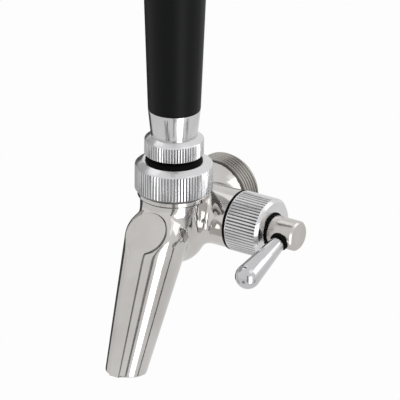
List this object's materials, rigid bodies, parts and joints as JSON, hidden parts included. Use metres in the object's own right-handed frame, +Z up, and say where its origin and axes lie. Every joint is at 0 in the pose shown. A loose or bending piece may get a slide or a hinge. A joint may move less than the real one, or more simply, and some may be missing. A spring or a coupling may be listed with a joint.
{
  "type": "flow control faucet",
  "caption": "Forward-sealing draught faucet with a ball-pivoted tap handle, knurled bonnet, sloping spout, threaded shank coupling and a side lever that turns a flow compensator.",
  "frame": {"origin": "centre of the shank coupling's rear face, where the faucet meets its shank", "axes": "+Z up along the handle, +Y back into the shank, +X towards the side control stem"},
  "size_m": [0.0631, 0.0796, 0.1933],
  "materials": {
    "stainless_polished": "smooth polished stainless casting, slightly warm",
    "bright_knurl": "bright polished ring with straight machined flutes",
    "chrome": "mirror chrome",
    "stainless_brushed": "turned and brushed, warm grey",
    "brass": "turned",
    "black_rubber": "matt",
    "black_grip": "satin black with soft highlights",
    "acetal_white": "plain",
    "acetal_black": "plain"
  },
  "bodies": {
    "faucet": {"faucet_body": "stainless_polished", "front_seat": "stainless_polished", "orifice_seat": "acetal_white", "shank_washer": "black_rubber", "bonnet": "bright_knurl", "friction_ring": "acetal_white", "dust_ring": "black_rubber", "ball_washer": "acetal_white", "ball_seal": "black_rubber", "nut_gasket": "black_rubber", "control_nut": "bright_knurl", "stem_thrust_washer": "acetal_white", "stem_wiper": "black_rubber"},
    "handle": {"lever_rod": "stainless_brushed", "pivot_ball": "stainless_polished", "lever_collar": "bright_knurl", "handle_ferrule": "chrome", "handle_insert": "brass", "handle_grip": "black_grip"},
    "seal": {"seal_carrier": "acetal_black", "front_seal_ring": "black_rubber", "seal_retainer": "stainless_polished"},
    "control": {"control_stem": "stainless_brushed", "stem_ring_inner": "black_rubber", "stem_ring_outer": "black_rubber", "eccentric_pin": "stainless_polished", "control_lever": "chrome", "lever_ring": "black_rubber"},
    "plug": {"compensator": "acetal_black"}
  },
  "joints": [
    {"name": "handle_tilt", "type": "hinge", "parent": "faucet", "child": "handle", "pos_m": [0, -0.0386, 0.017], "axis": [1, 0, 0], "range_deg": [0, 12]},
    {"name": "seal_slide", "type": "slide", "parent": "faucet", "child": "seal", "axis": [0, 1, 0], "range_m": [0, 0.0036]},
    {"name": "control_turn", "type": "hinge", "parent": "faucet", "child": "control", "pos_m": [0.03, -0.0249, 0], "axis": [1, 0, 0], "range_deg": [-60, 60]},
    {"name": "compensator_slide", "type": "slide", "parent": "faucet", "child": "plug", "axis": [0, 1, 0], "range_m": [-0.0024, 0.0024]}
  ],
  "couplings": [
    {"joint": "seal_slide", "follows": "handle_tilt", "m_per_rad": 0.01688},
    {"joint": "compensator_slide", "follows": "control_turn", "m_per_rad": -0.00228}
  ]
}
